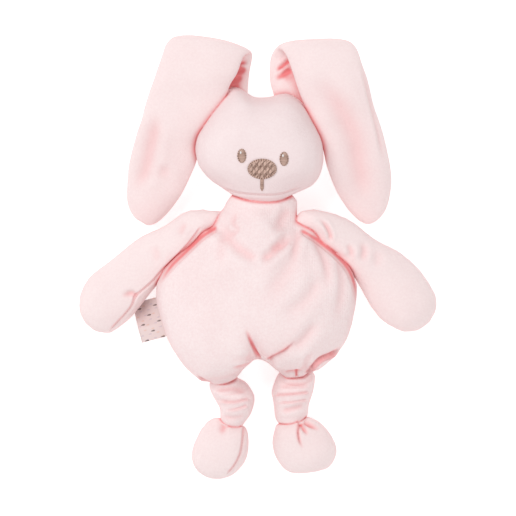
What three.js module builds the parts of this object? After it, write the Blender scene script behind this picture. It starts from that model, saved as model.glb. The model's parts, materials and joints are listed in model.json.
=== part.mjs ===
// Stuffed bunny with knotted legs and folded ears, lying on its back.
// Millimetres. +Z is up out of the belly, +Y runs to the top of the head, +X is the toy's left.
// The origin is under the middle of the toy, on the surface that it lies on.
import * as THREE from 'three';

// ---- Driving dimensions ----
const FABRIC = 1.5;            // thickness of the velour with its backing
const CLEARANCE = 0.3;         // gap between pieces that touch
const FILL_GAP = 1.0;          // gap between a panel and the filling
const BODY_SEAM_Z = 38;        // height of the side seam of the body and the head
const BODY_WIDTH = 158;
const BODY_LENGTH = 146;       // neck to the bottom of the leg lobes
const BODY_FRONT = 40;         // belly above the seam
const BODY_BACK = 38;          // back below the seam, down to the surface it lies on
const HEAD_WIDTH = 100.4;
const HEAD_LENGTH = 86;        // chin to the foot of the ears
const HEAD_FRONT = 42;         // face above the seam
const HEAD_BACK = 37.6;        // back of the head below the seam
const NECK_GAP = 1.6;          // slack fabric between the neck and the chin
const EAR_ROOT_THICK = 7;      // half thickness of the ear where it leaves the head
const EAR_FLAP_THICK = 8.5;    // half thickness of the folded part of the ear
const EAR_TIP_THICK = 8;
const EAR_DROP = 66;           // how far the ear hangs below the cheek
const EAR_TIP_SEAM_Z = 9;      // the tip lies on the surface
const ARM_REACH = 111;         // how far the arm reaches out from its armhole, along X
const ARM_ROOT_THICK = 9;      // half thickness of the arm at the armhole
const ARM_HAND_THICK = 20;     // half thickness of the arm at the hand
const ARM_ROOT_SEAM_Z = 34;
const KNOT_WIDTH = 34;         // the tied tube of the leg
const KNOT_LENGTH = 33;
const KNOT_DEPTH = 32;
const KNOT_SEAM_Z = 22;
const FOOT_THICK = 19.5;       // half thickness of the foot
const FOOT_SEAM_Z = 20;
const FOOT_GAP = 1.6;          // slack fabric between a knot and its foot
const EYE = { width: 7.4, height: 11 };
const NOSE = { width: 24, height: 16.4 };
const MOUTH = { width: 3, length: 10 };
const GLINT = { width: 1.8, height: 2.4, thick: 0.4 };   // the white stitches in each eye
const THREAD = 0.9;            // height of the embroidery
const LABEL_THICK = 1.6;       // a ribbon folded in two
const LABEL_PROUD = 18.5;      // how far it stands out of the seam
const LABEL_GAP = 0.8;
const LABEL_SLANT = { top: 11, bottom: 6 };   // how far its outer corners hang towards the feet
const LABEL_BELOW_SEAM = 6;    // how far its upper face lies below the middle of the seam

// ---- Materials ----
const cloth = (colour) => new THREE.MeshStandardMaterial({ color: colour, roughness: 0.95, metalness: 0 });
const velour = cloth(0xf8e2e2);
const jersey = cloth(0xf6e0e1);
const fibre = cloth(0xf6f4f0);
const taupe = cloth(0xae9385);
const white = cloth(0xfaf6f2);
const ribbon = cloth(0xe6cccb);

const bunny = new THREE.Group();

function addPiece(name, geometry, material) {
  const mesh = new THREE.Mesh(geometry, material);
  mesh.name = name;
  bunny.add(mesh);
}

// ---- Pillow forms: every stuffed piece is two panels sewn round one outline, and the filling ----

// A smooth closed loop through hand-placed points, as `count` evenly spaced points.
function smoothLoop(points, count) {
  const curve = new THREE.CatmullRomCurve3(
    points.map(([x, y]) => new THREE.Vector3(x, y, 0)), true, 'centripetal');
  const loop = curve.getSpacedPoints(count).slice(0, count);
  return loop.map((p) => new THREE.Vector2(p.x, p.y));
}

// Where a point falls along the spine, from 0 at its start to 1 at its end.
function alongSpine(point, spine) {
  const [start, end] = spine.map(([x, y]) => new THREE.Vector2(x, y));
  const run = end.clone().sub(start);
  const share = point.clone().sub(start).dot(run) / run.lengthSq();
  const kept = Math.min(Math.max(share, 0), 1);
  return { share: kept, foot: start.clone().addScaledVector(run, kept) };
}

const mix = ([from, to], share) => from + (to - from) * share;

// One domed surface over the outline, drawn in by `inset`: rings of [x, y, z] from the rim inwards.
// `side` is 1 above the seam and -1 below it, and `crown` is how much of the way in the dome rises.
function domeRings(form, side, inset, rimLift) {
  const thickness = side > 0 ? form.front : form.back;
  const rings = [];
  for (let k = 0; k <= form.rings; k += 1) {
    const turn = (k / form.rings) * Math.PI / 2;
    const inward = form.crown * (1 - Math.cos(turn));
    rings.push(form.loop.map((p) => {
      const { share, foot } = alongSpine(p, form.spine);
      const reach = p.distanceTo(foot) - inset;
      const place = foot.clone().add(p.clone().sub(foot).setLength(reach * (1 - inward)));
      const rise = (mix(thickness, share) - inset) * Math.sin(turn);
      const z = mix(form.seamZ, share) + side * Math.max(rise, rimLift);
      return [place.x, place.y, z];
    }));
  }
  return rings;
}

// Joins rings of equal length into a closed body, with a flat cap on the first ring and on the last.
function closeRings(rings) {
  const count = rings[0].length;
  const positions = rings.flat(2);
  const index = [];
  for (let k = 0; k + 1 < rings.length; k += 1) {
    for (let i = 0; i < count; i += 1) {
      const j = (i + 1) % count;
      const [a, b] = [k * count + i, k * count + j];
      const [c, d] = [a + count, b + count];
      index.push(a, b, d, a, d, c);
    }
  }
  for (const ring of [0, rings.length - 1]) {
    const contour = rings[ring].map(([x, y]) => new THREE.Vector2(x, y));
    const base = ring * count;
    for (const [a, b, c] of THREE.ShapeUtils.triangulateShape(contour, [])) {
      const [second, third] = ring === 0 ? [c, b] : [b, c];
      index.push(base + a, base + second, base + third);
    }
  }
  const geometry = new THREE.BufferGeometry();
  geometry.setAttribute('position', new THREE.Float32BufferAttribute(positions, 3));
  geometry.setIndex(index);
  return geometry;
}

// A sewn panel: the dome above or below the seam, one fabric thick, open towards the filling.
function panel(form, side) {
  const lift = CLEARANCE / 2;
  const inner = domeRings(form, side, FABRIC, lift).reverse();
  const outer = domeRings(form, side, 0, lift);
  return closeRings(side > 0 ? [...inner, ...outer] : [...outer.reverse(), ...inner.reverse()]);
}

// The filling: both domes together, just inside the panels.
function filling(form) {
  const inset = FABRIC + FILL_GAP;
  const back = domeRings(form, -1, inset, 0).reverse();
  const front = domeRings(form, 1, inset, 0).slice(1);
  return closeRings([...back, ...front]);
}

function addPillow(name, form, material) {
  addPiece(`${name}_front_panel`, panel(form, 1), material);
  addPiece(`${name}_back_panel`, panel(form, -1), material);
  addPiece(`${name}_stuffing`, filling(form), fibre);
}

// Height of the front of a pillow over a point of its plan.
function frontHeight(form, x, y) {
  const point = new THREE.Vector2(x, y);
  const { share, foot } = alongSpine(point, form.spine);
  const out = point.clone().sub(foot);
  const distance = out.length();
  let reach = Infinity;
  form.loop.forEach((a, i) => {
    const b = form.loop[(i + 1) % form.loop.length];
    const edge = b.clone().sub(a);
    const cross = out.x * edge.y - out.y * edge.x;
    const away = a.clone().sub(foot);
    const s = (away.x * edge.y - away.y * edge.x) / cross;
    const u = (away.x * out.y - away.y * out.x) / cross;
    if (s > 0 && u >= 0 && u <= 1) reach = Math.min(reach, s * distance);
  });
  const inward = Math.min(1 - distance / reach, form.crown) / form.crown;
  return mix(form.seamZ, share) + mix(form.front, share) * Math.sin(Math.acos(1 - inward));
}

const spanOf = (points, axis) => {
  const values = points.map((point) => point[axis]);
  return Math.max(...values) - Math.min(...values);
};
const counterClockwise = (points) => {
  const area = THREE.ShapeUtils.area(points.map(([x, y]) => new THREE.Vector2(x, y)));
  return area > 0 ? points : [...points].reverse();
};

// ---- Head: a rounded wedge, widest at the cheeks, with a corner at the foot of each ear ----
const headOutline = [
  [4, 130.4], [-7, 130.2], [-18, 126.4], [-29.5, 119.6], [-39, 107.5], [-47, 94], [-47.6, 85],
  [-43, 73], [-34.5, 62], [-22, 54], [-9, 47.4], [4, 45.4], [19, 46.6], [30, 51.6], [41, 57],
  [49.4, 66.4], [52.8, 80], [51.6, 91], [47, 103], [38.6, 113], [36, 121], [29, 128], [20, 131.4],
  [12, 130.6],
];
const CHIN_Y = 45.4;
const headScale = [HEAD_WIDTH / spanOf(headOutline, 0), HEAD_LENGTH / spanOf(headOutline, 1)];
const onHead = ([x, y]) => [x * headScale[0], CHIN_Y + (y - CHIN_Y) * headScale[1]];
const head = {
  loop: smoothLoop(counterClockwise(headOutline.map(onHead)), 32),
  spine: [[-12, 87], [17, 86]].map(onHead),
  seamZ: [BODY_SEAM_Z, BODY_SEAM_Z],
  front: [HEAD_FRONT, HEAD_FRONT],
  back: [HEAD_BACK, HEAD_BACK],
  crown: 0.72,
  rings: 4,
};
addPillow('head', head, jersey);

// ---- Face: satin-stitched eyes, nose and mouth lying on the face panel ----

// A stitched patch with the plan of an ellipse, following the face underneath.
function patch(centre, width, height, foot, top) {
  const around = 16;
  const ringAt = (scale, level) => {
    const ring = [];
    for (let i = 0; i < around; i += 1) {
      const angle = (i / around) * 2 * Math.PI;
      const x = centre[0] + (width / 2) * scale * Math.cos(angle);
      const y = centre[1] + (height / 2) * scale * Math.sin(angle);
      ring.push([x, y, frontHeight(head, x, y) + level]);
    }
    return ring;
  };
  return closeRings(
    [ringAt(0.5, foot), ringAt(1, foot), ringAt(1, foot + top * 0.6), ringAt(0.5, foot + top)]);
}

const eyes = { right: onHead([-12.5, 82.7]), left: onHead([21.7, 80.4]) };
for (const [side, centre] of Object.entries(eyes)) {
  addPiece(`${side}_eye`, patch(centre, EYE.width, EYE.height, CLEARANCE, THREAD), taupe);
  const glint = [centre[0] - EYE.width * 0.16, centre[1] + EYE.height * 0.24];
  const lift = CLEARANCE * 2 + THREAD;
  addPiece(`${side}_eye_highlight`, patch(glint, GLINT.width, GLINT.height, lift, GLINT.thick), white);
}
const noseCentre = onHead([4.1, 72.4]);
addPiece('nose', patch(noseCentre, NOSE.width, NOSE.height, CLEARANCE, THREAD), taupe);
const mouthCentre = [noseCentre[0] - 0.2, noseCentre[1] - NOSE.height / 2 - CLEARANCE - MOUTH.length / 2];
addPiece('mouth', patch(mouthCentre, MOUTH.width, MOUTH.length, CLEARANCE, THREAD), taupe);

// ---- Body: one pear-shaped romper in two panels, with a lobe over each leg ----
const neckY = CHIN_Y - NECK_GAP;
const bodyOutline = [
  [-24, neckY - 0.8], [-27.5, 37], [-30, 29], [-32.5, 20], [-41, 18.5], [-52.5, 4], [-70, -13.4],
  [-79, -27], [-79, -37], [-76, -55], [-71, -70], [-62.5, -83], [-51.5, -94], [-39, -101],
  [-27, -102], [-16, -101], [-9.5, -95], [-4.5, -87], [4.5, -84], [10, -86.5], [15, -92.5],
  [21, -95.4], [34, -95.4], [46, -93.6], [55.5, -85], [69.5, -72], [76.5, -57], [79, -37],
  [78, -25], [73.5, -14], [60, -0.8], [48.6, 9.6], [42, 17], [34, 18.5], [32.4, 26], [31.8, 33],
  [29, neckY - 0.8], [18, neckY], [4, neckY - 0.8], [-10, neckY],
];
const bodyScale = [BODY_WIDTH / spanOf(bodyOutline, 0), BODY_LENGTH / spanOf(bodyOutline, 1)];
const onBody = ([x, y]) => [x * bodyScale[0], neckY + (y - neckY) * bodyScale[1]];
const body = {
  loop: smoothLoop(counterClockwise(bodyOutline.map(onBody)), 40),
  spine: [[0, 12], [0, -42]].map(onBody),
  seamZ: [BODY_SEAM_Z, BODY_SEAM_Z],
  front: [BODY_FRONT * 0.8, BODY_FRONT],
  back: [BODY_BACK, BODY_BACK],
  crown: 0.78,
  rings: 4,
};
addPillow('body', body, velour);

// ---- Label: a printed ribbon folded in two, caught in the side seam under the right arm ----
const labelSeam = [[-79.2, -36], [-74.2, -63.5]].map(onBody);
const labelCorners = [
  [labelSeam[0][0] - LABEL_GAP, labelSeam[0][1]],
  [labelSeam[1][0] - LABEL_GAP, labelSeam[1][1]],
  [labelSeam[1][0] - LABEL_PROUD, labelSeam[1][1] - LABEL_SLANT.bottom],
  [labelSeam[0][0] - LABEL_PROUD, labelSeam[0][1] - LABEL_SLANT.top],
];
const labelPoints = counterClockwise(labelCorners).map(([x, y]) => new THREE.Vector2(x, y));
const labelShape = new THREE.Shape(labelPoints);
const labelGeometry = new THREE.ExtrudeGeometry(labelShape, { depth: LABEL_THICK, bevelEnabled: false });
labelGeometry.translate(0, 0, BODY_SEAM_Z - LABEL_THICK - LABEL_BELOW_SEAM);
addPiece('side_label', labelGeometry, ribbon);

// ---- Ears: each is folded over near its top, so it has a root and a hanging flap ----
const ears = {
  right: {
    root: [[-6.4, 132.6], [-8.2, 142], [-8, 152], [-6.8, 160], [-10, 165.6], [-18, 167], [-24, 160],
      [-25, 145], [-24.6, 133], [-24, 128], [-15, 130.8]],
    rootSpine: [[-15.5, 138], [-15.5, 158]],
    flap: [[-64, 176], [-42, 174.2], [-20, 169], [-11, 166.4], [-12, 160], [-17.6, 152], [-22.6, 146],
      [-24.4, 138], [-26.6, 131], [-32, 122.3], [-36, 114], [-42.6, 107], [-48.4, 100.5], [-51, 94],
      [-51, 84], [-53, 75.5], [-56.6, 63.5], [-61.6, 52.6], [-68, 43.5], [-75.6, 35.6], [-84.9, 28.4],
      [-93, 28.6], [-101, 33.4], [-105.4, 41.8], [-106.6, 52.4], [-104.4, 70], [-99, 95], [-92.6, 115],
      [-87, 132], [-79.5, 154.5], [-71, 170]],
    flapSpine: [[-43, 160], [-91, 46]],
  },
  left: {
    root: [[13, 133.4], [11, 143], [11, 154], [12.4, 164], [16, 169.6], [24, 170], [30, 162],
      [34, 146], [36.4, 134], [37.6, 124.4], [30.4, 130.8], [21, 134.2]],
    rootSpine: [[23, 141], [20.5, 160]],
    flap: [[20, 171], [32, 174], [45, 174], [62, 175.6], [71, 176.4], [76, 173], [79.2, 166],
      [83, 160], [87.4, 152], [89, 142], [94.7, 118], [101, 100.5], [106.4, 79], [108.2, 59],
      [106.4, 43], [101, 34.6], [91, 28.4], [82.4, 32], [75, 40], [67, 55], [60, 72], [56.6, 88],
      [49, 105], [43, 118], [36.6, 134], [31, 149], [26.6, 160]],
    flapSpine: [[52, 160], [92, 48]],
  },
};
const foldZ = BODY_SEAM_Z + EAR_ROOT_THICK + CLEARANCE * 2;
const cheekY = 94;
const tipY = 28;
for (const [side, ear] of Object.entries(ears)) {
  addPillow(`${side}_ear_root`, {
    loop: smoothLoop(counterClockwise(ear.root.map(onHead)), 18),
    spine: ear.rootSpine.map(onHead),
    seamZ: [BODY_SEAM_Z, BODY_SEAM_Z],
    front: [EAR_ROOT_THICK, EAR_ROOT_THICK],
    back: [EAR_ROOT_THICK, EAR_ROOT_THICK],
    crown: 0.7,
    rings: 3,
  }, velour);
  const hang = ([x, y]) => {
    const [across, up] = onHead([x, Math.max(y, cheekY)]);
    const below = Math.max(cheekY - y, 0);
    return [across, up - below * (EAR_DROP / (cheekY - tipY))];
  };
  addPillow(`${side}_ear_flap`, {
    loop: smoothLoop(counterClockwise(ear.flap.map(hang)), 30),
    spine: ear.flapSpine.map(hang),
    seamZ: [foldZ + CLEARANCE * 2 + EAR_FLAP_THICK, EAR_TIP_SEAM_Z],
    front: [EAR_FLAP_THICK, EAR_TIP_THICK],
    back: [EAR_FLAP_THICK, EAR_TIP_THICK],
    crown: 0.7,
    rings: 3,
  }, velour);
}

// ---- Arms: tapered bags sewn into the armholes, fullest at the hand ----
const arms = {
  right: {
    outline: [[-33.5, 33.5], [-42, 37.6], [-50.8, 37], [-59, 33.8], [-73, 26.2], [-88, 18.4],
      [-105.4, 9.6], [-118.5, 0], [-131.5, -11], [-140.6, -22.3], [-144.8, -33.5], [-144.4, -42.7],
      [-139.8, -53.4], [-131.5, -61], [-122.6, -61.4], [-111.6, -54.6], [-100.6, -44.6],
      [-91.6, -32.6], [-83.5, -22.6], [-72.4, -9], [-64.4, -0.6], [-56, 8], [-49, 17], [-43, 24],
      [-36, 24.6], [-33.5, 29]],
    spine: [[-47, 26], [-121, -38]],
    root: [-33.5, 29],
  },
  left: {
    outline: [[35.6, 33.6], [43, 37], [56.5, 36.4], [65.4, 33.4], [76, 28.5], [87.4, 22], [96.3, 15.4],
      [109.3, 8.4], [119, 0.5], [129.6, -8], [138, -17], [143.2, -26.4], [145.7, -35.2], [144, -44.9],
      [138, -54], [131, -59], [122.6, -60.4], [113.4, -57.8], [105.6, -52], [97.4, -44.9],
      [90.6, -32.6], [86, -24], [79, -13.4], [73.4, -4.4], [66.4, 1.6], [53.6, 12.4], [46, 22.4],
      [36.4, 23.4]],
    spine: [[49, 28], [121, -37]],
    root: [35.6, 28],
  },
};
for (const [side, arm] of Object.entries(arms)) {
  const shoulder = onBody(arm.root);
  const drawn = arm.outline.map(onBody);
  const reach = ARM_REACH / spanOf(drawn, 0);
  const stretch = (point) => {
    const [x, y] = onBody(point);
    return [shoulder[0] + (x - shoulder[0]) * reach, shoulder[1] + (y - shoulder[1]) * reach];
  };
  addPillow(`${side}_arm`, {
    loop: smoothLoop(counterClockwise(arm.outline.map(stretch)), 26),
    spine: arm.spine.map(stretch),
    seamZ: [ARM_ROOT_SEAM_Z, ARM_HAND_THICK + 1],
    front: [ARM_ROOT_THICK, ARM_HAND_THICK],
    back: [ARM_ROOT_THICK, ARM_HAND_THICK],
    crown: 0.75,
    rings: 3,
  }, velour);
}

// ---- Legs: a gathered fabric tube tied in a knot, and a stuffed foot below it ----
// A foot's outline is drawn from the bottom of its knot.
const legs = {
  right: {
    knotTop: [-26, -103.6],
    lean: 0.2,
    foot: [[-11, -1.4], [-20, -3.6], [-26.5, -7.6], [-31.5, -17.4], [-32.8, -27.4], [-29.4, -36],
      [-21, -42.2], [-8, -42.4], [1, -39.4], [8, -31.4], [11.8, -17], [12.2, -8.4], [9.2, -1.6],
      [0, -0.6]],
    footSpine: [[-7, -15], [-11, -26]],
  },
  left: {
    knotTop: [30.6, -97.4],
    lean: -0.03,
    foot: [[-12.6, -2.4], [-16.6, -11.4], [-17.2, -18.4], [-15.4, -30.4], [-11.2, -38.4],
      [-4.2, -43.4], [8.8, -44.6], [20, -43.4], [30.4, -37.4], [34.2, -28.8], [33.6, -21.8],
      [28.4, -12], [20.4, -4.6], [11.4, -0.8], [0, -0.6]],
    footSpine: [[3, -16], [10, -26]],
  },
};

// The knot is a barrel whose wraps stand out as three soft rolls.
const wraps = [[0, 0], [0.3, 0], [0.42, 0.04], [0.47, 0.14], [0.5, 0.25], [0.47, 0.36], [0.49, 0.48],
  [0.46, 0.6], [0.44, 0.72], [0.4, 0.86], [0.33, 0.96], [0.25, 1], [0, 1]];
for (const [side, leg] of Object.entries(legs)) {
  const profile = wraps.map(([r, along]) => new THREE.Vector2(r * KNOT_WIDTH, along * KNOT_LENGTH));
  const top = onBody(leg.knotTop);
  const bottom = [
    top[0] + KNOT_LENGTH * Math.sin(leg.lean),
    top[1] - KNOT_LENGTH * Math.cos(leg.lean) - FOOT_GAP,
  ];
  const knot = new THREE.LatheGeometry(profile, 18);
  knot.rotateX(Math.PI);
  knot.scale(1, 1, KNOT_DEPTH / KNOT_WIDTH);
  knot.rotateZ(leg.lean);
  knot.translate(top[0], top[1], KNOT_SEAM_Z);
  addPiece(`${side}_leg_knot`, knot, velour);
  const below = ([x, y]) => [bottom[0] + x, bottom[1] + y];
  addPillow(`${side}_foot`, {
    loop: smoothLoop(counterClockwise(leg.foot.map(below)), 20),
    spine: leg.footSpine.map(below),
    seamZ: [FOOT_SEAM_Z, FOOT_SEAM_Z],
    front: [FOOT_THICK, FOOT_THICK],
    back: [FOOT_THICK, FOOT_THICK],
    crown: 0.75,
    rings: 3,
  }, velour);
}

// The origin goes under the middle of the toy.
const extent = new THREE.Box3().setFromObject(bunny);
const middle = extent.getCenter(new THREE.Vector3());
bunny.position.set(-middle.x, -middle.y, -extent.min.z);

export default bunny;
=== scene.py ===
import json
import math

import bmesh
import bpy
import numpy as np
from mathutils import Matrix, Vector, noise
from mathutils.bvhtree import BVHTree


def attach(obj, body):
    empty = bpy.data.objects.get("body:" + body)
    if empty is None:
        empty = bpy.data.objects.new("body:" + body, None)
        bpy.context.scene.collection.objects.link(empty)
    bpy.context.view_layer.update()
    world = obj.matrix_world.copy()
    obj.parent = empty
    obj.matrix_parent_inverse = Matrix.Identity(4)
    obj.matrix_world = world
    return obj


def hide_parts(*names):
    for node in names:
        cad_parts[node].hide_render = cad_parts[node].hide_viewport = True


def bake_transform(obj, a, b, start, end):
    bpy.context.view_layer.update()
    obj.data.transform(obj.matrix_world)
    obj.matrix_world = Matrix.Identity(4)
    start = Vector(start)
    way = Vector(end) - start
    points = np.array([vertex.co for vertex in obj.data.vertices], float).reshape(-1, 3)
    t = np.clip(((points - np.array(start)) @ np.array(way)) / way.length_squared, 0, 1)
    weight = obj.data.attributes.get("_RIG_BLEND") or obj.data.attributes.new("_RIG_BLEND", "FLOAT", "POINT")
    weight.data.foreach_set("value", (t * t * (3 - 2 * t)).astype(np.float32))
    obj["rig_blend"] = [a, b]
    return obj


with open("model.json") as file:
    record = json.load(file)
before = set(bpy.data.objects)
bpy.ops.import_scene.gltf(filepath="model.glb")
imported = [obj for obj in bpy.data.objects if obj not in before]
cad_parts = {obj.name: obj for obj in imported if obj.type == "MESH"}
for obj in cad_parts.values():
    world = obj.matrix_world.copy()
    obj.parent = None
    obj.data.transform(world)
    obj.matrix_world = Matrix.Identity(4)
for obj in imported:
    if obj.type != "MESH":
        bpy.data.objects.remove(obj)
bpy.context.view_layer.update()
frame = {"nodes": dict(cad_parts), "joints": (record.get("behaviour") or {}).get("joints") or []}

scene = bpy.context.scene
MM = 0.001

# ---- Camera ----
# The toy lies on its back and is seen from straight above through a long lens.
CAMERA_HEIGHT = 2.5
BELLY_LEVEL = 0.035
VIEW_WIDTH = 0.4193
VIEW_CENTRE = (-0.0002, 0.0017)
lens = bpy.data.cameras.new("camera")
lens.sensor_width = 36
lens.lens = 36 * (CAMERA_HEIGHT - BELLY_LEVEL) / VIEW_WIDTH
lens.clip_end = 20
camera = bpy.data.objects.new("camera", lens)
camera.location = (*VIEW_CENTRE, CAMERA_HEIGHT)
scene.collection.objects.link(camera)
scene.camera = camera
scene.view_settings.view_transform = "Standard"

# ---- Body: a pear-shaped romper of stretch velour ----
# Two panels sewn round their edge and filled with loose fibre. It bags between the seams and
# gathers into the neck, the armholes and the two leg tubes.


def points_of(piece):
    """The places of a piece's vertices, one row each."""
    co = np.empty(len(piece.data.vertices) * 3)
    piece.data.vertices.foreach_get("co", co)
    return co.reshape(-1, 3)


def move_points(piece, co):
    piece.data.vertices.foreach_set("co", np.ascontiguousarray(co).ravel())
    piece.data.update()


def normals_of(piece):
    """Which way each vertex of a piece faces."""
    out = np.empty(len(piece.data.vertices) * 3, np.float32)
    piece.data.vertex_normals.foreach_get("vector", out)
    return out.reshape(-1, 3).astype(float)


def add_piece(name, vertices, faces):
    """A new mesh piece, smooth shaded, with its faces turned outwards."""
    mesh = bpy.data.meshes.new(name)
    mesh.from_pydata([tuple(v) for v in vertices], [], faces)
    shell = bmesh.new()
    shell.from_mesh(mesh)
    bmesh.ops.remove_doubles(shell, verts=shell.verts, dist=1e-6)
    bmesh.ops.recalc_face_normals(shell, faces=shell.faces)
    shell.to_mesh(mesh)
    shell.free()
    piece = bpy.data.objects.new(name, mesh)
    scene.collection.objects.link(piece)
    return piece


def settle(piece):
    """Makes the result of a piece's modifiers its own mesh."""
    bpy.context.view_layer.update()
    seen = piece.evaluated_get(bpy.context.evaluated_depsgraph_get())
    piece.data = bpy.data.meshes.new_from_object(seen)
    piece.modifiers.clear()
    piece.vertex_groups.clear()
    piece.data.polygons.foreach_set("use_smooth", [True] * len(piece.data.polygons))


def relax_skin(piece, rounds):
    """Evens out the small bumps of a skin."""
    relax = piece.modifiers.new("relax", "SMOOTH")
    relax.iterations = rounds
    relax.factor = 0.5
    settle(piece)


def remesh(piece, voxel):
    """One even closed skin over everything in the piece."""
    skin = piece.modifiers.new("skin", "REMESH")
    skin.mode = "VOXEL"
    skin.voxel_size = voxel
    settle(piece)
    relax_skin(piece, 5)


def inflate(piece, pressure, reach, rim=0.3):
    """Blows the cloth up between its seams, and lets no point move further than `reach`."""
    rest = points_of(piece)
    seam = piece.vertex_groups.new(name="seam")
    held = np.nonzero(np.abs(normals_of(piece)[:, 2]) < rim)[0]
    seam.add([int(i) for i in held], 1.0, "REPLACE")
    cloth = piece.modifiers.new("cloth", "CLOTH")
    cloth.settings.quality = 5
    cloth.settings.use_pressure = True
    cloth.settings.uniform_pressure_force = pressure
    cloth.settings.effector_weights.gravity = 0
    cloth.settings.vertex_group_mass = "seam"
    cloth.collision_settings.use_collision = False
    for step in range(1, 21):
        scene.frame_set(step)
    seen = piece.evaluated_get(bpy.context.evaluated_depsgraph_get())
    co = np.empty(len(rest) * 3)
    seen.data.vertices.foreach_get("co", co)
    push = co.reshape(-1, 3) - rest
    length = np.linalg.norm(push, axis=1, keepdims=True)
    push *= np.minimum(1, reach / np.maximum(length, 1e-9))
    piece.modifiers.clear()
    piece.vertex_groups.clear()
    scene.frame_set(1)
    move_points(piece, rest + push)


def divide(piece):
    """Divides the skin of a piece more finely."""
    fine = piece.modifiers.new("fine", "SUBSURF")
    fine.levels = fine.render_levels = 1
    settle(piece)


def refine(piece):
    """Makes the skin fine enough for folds and seams, and gives it a layer for the painted shade of its folds."""
    divide(piece)
    piece.data.attributes.new("fold", "FLOAT", "POINT")


def along(co, path):
    """Signed distance of each point from a path in plan, and how far along the path it lies."""
    route = np.array(path, float) * MM
    lengths = np.linalg.norm(np.diff(route, axis=0), axis=1)
    starts = np.concatenate([[0], np.cumsum(lengths)])
    best = np.full(len(co), 1e9)
    side = np.zeros(len(co))
    place = np.zeros(len(co))
    for i, (a, b) in enumerate(zip(route[:-1], route[1:])):
        run = b - a
        to = co[:, :2] - a
        t = np.clip(to @ run / (run @ run), 0, 1)
        off = to - t[:, None] * run
        distance = np.linalg.norm(off, axis=1)
        near = distance < best
        best[near] = distance[near]
        side[near] = np.sign(run[0] * off[near, 1] - run[1] * off[near, 0])
        place[near] = (starts[i] + t[near] * lengths[i]) / starts[-1]
    return best * np.where(side == 0, 1, side), place


def rounded(path, steps=8):
    """A smooth curve through a few given points in plan."""
    p = [path[0]] + list(path) + [path[-1]]
    out = []
    for i in range(1, len(p) - 2):
        for k in range(steps):
            t = k / steps
            out.append(tuple(
                0.5 * (2 * b + (c - a) * t + (2 * a - 5 * b + 4 * c - d) * t * t
                       + (3 * b - a - 3 * c + d) * t ** 3)
                for a, b, c, d in zip(p[i - 1], p[i], p[i + 1], p[i + 2])
            ))
    return out + [tuple(path[-1])]


def fit_outline(piece, loop, centre, limit=None):
    """Draws the rim of a piece out or in to a given outline in plan, and leaves its middle alone."""
    co = points_of(piece)
    middle = np.array(centre, float) * MM
    flat = co[:, :2] - middle
    radius = np.linalg.norm(flat, axis=1)
    angle = np.arctan2(flat[:, 1], flat[:, 0])
    turn = np.linspace(-math.pi, math.pi, 721)
    corners = np.array(rounded(list(loop) + [loop[0]], 5)) * MM - middle
    wanted = np.zeros(len(turn))
    for a, b in zip(corners[:-1], corners[1:]):
        edge = b - a
        cross = np.cos(turn) * edge[1] - np.sin(turn) * edge[0]
        cross = np.where(np.abs(cross) < 1e-12, 1e-12, cross)
        reach = (a[0] * edge[1] - a[1] * edge[0]) / cross
        share = (a[0] * np.sin(turn) - a[1] * np.cos(turn)) / cross
        hit = (reach > 0) & (share >= -1e-6) & (share <= 1 + 1e-6)
        wanted = np.where(hit, np.maximum(wanted, reach), wanted)
    rim = np.interp(angle, turn, wanted)
    bins = 120
    sector = ((angle + math.pi) / (2 * math.pi) * bins).astype(int) % bins
    share = np.zeros(bins)
    np.maximum.at(share, sector, radius / rim)
    share = np.maximum(share, np.maximum(np.roll(share, 1), np.roll(share, -1)))
    ratio = np.clip(1 / share, 0.7, 1.5)
    for _ in range(2):
        ratio = (np.roll(ratio, 1) + 2 * ratio + np.roll(ratio, -1)) / 4
    centres = (np.arange(bins) + 0.5) / bins * 2 * math.pi - math.pi
    at = np.interp(angle, centres, ratio, period=2 * math.pi)
    weight = np.clip(radius / rim, 0, 1) ** 2
    if limit is not None:
        weight *= np.clip((limit * MM - co[:, 1]) / 0.012, 0, 1)
    co[:, :2] = middle + flat * (1 + (at - 1) * weight)[:, None]
    move_points(piece, co)


def fit_rim(piece, loop, centre, limit=None):
    """Fits the outline in three rounds, each measured on the rim that the last one left."""
    for _ in range(3):
        fit_outline(piece, loop, centre, limit)


def lay_down(piece):
    """The cloth underneath lies flat on the table, with a soft turn where it leaves it."""
    turn, give = 0.0025, 0.0022
    co = points_of(piece)
    low = co[:, 2] < turn
    co[low, 2] = turn - give * (1 - np.exp(-(turn - co[low, 2]) / give))
    move_points(piece, co)


def facing_up(piece):
    return np.clip(normals_of(piece)[:, 2] * 3, 0, 1)


def faded(place, ends):
    """The strength of a fold along its path, which fades out over a share of the path at either end."""
    fade = np.clip(place / max(ends[0], 1e-3), 0, 1) * np.clip((1 - place) / max(ends[1], 1e-3), 0, 1)
    return fade * fade * (3 - 2 * fade)


def paint_fold_shade(piece, amount):
    """Adds painted shade to each point: the fold layer darkens the nap's colour towards coral, standing in for
    shade in folds and the light bounced between the pink cloth.
    """
    layer = piece.data.attributes["fold"]
    value = np.empty(len(amount), np.float32)
    layer.data.foreach_get("value", value)
    layer.data.foreach_set("value", np.clip(value + amount, 0, 1).astype(np.float32))


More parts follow.
